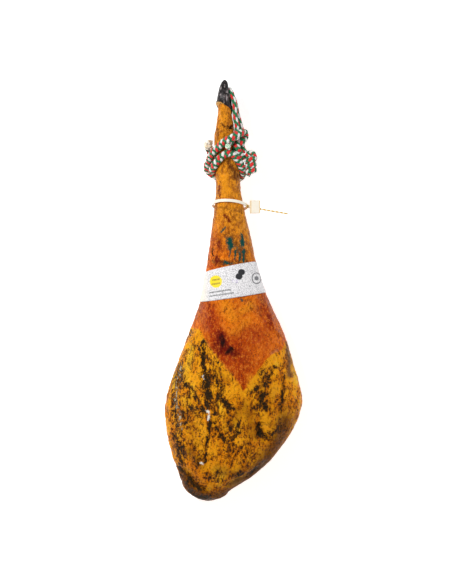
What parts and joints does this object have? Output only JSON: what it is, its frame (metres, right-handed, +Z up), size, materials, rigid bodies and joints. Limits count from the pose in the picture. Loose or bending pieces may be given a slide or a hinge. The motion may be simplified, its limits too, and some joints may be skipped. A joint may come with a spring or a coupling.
{
  "type": "cured ham",
  "caption": "Whole cured ham leg with its hoof, a tied braided rope loop, a plastic seal tie and a paper band, lying on its side.",
  "frame": {"origin": "on the floor under the middle of the object's box, as it lies on its flat underside", "axes": "+Y along the leg towards the hoof, +X to the right of the shown side, +Z up, out of the shown side"},
  "size_m": [0.2743, 0.843, 0.1175],
  "materials": {
    "ham": "glossy cured skin and fat, golden ochre to orange with dark brown stains",
    "hoof": "dark horn with fine lengthwise lines",
    "rope": "round braid of green, red and white strands",
    "rope_fray": "pale frayed cotton",
    "seal": "cream moulded plastic",
    "paper": null
  },
  "bodies": {
    "root": {"ham": "ham", "hoof_outer": "hoof", "hoof_inner": "hoof", "rope_turns": "rope", "rope_loop": "rope", "rope_knot": "rope", "rope_fray": "rope_fray", "seal_tie": "seal", "label_band": "paper"}
  },
  "joints": []
}
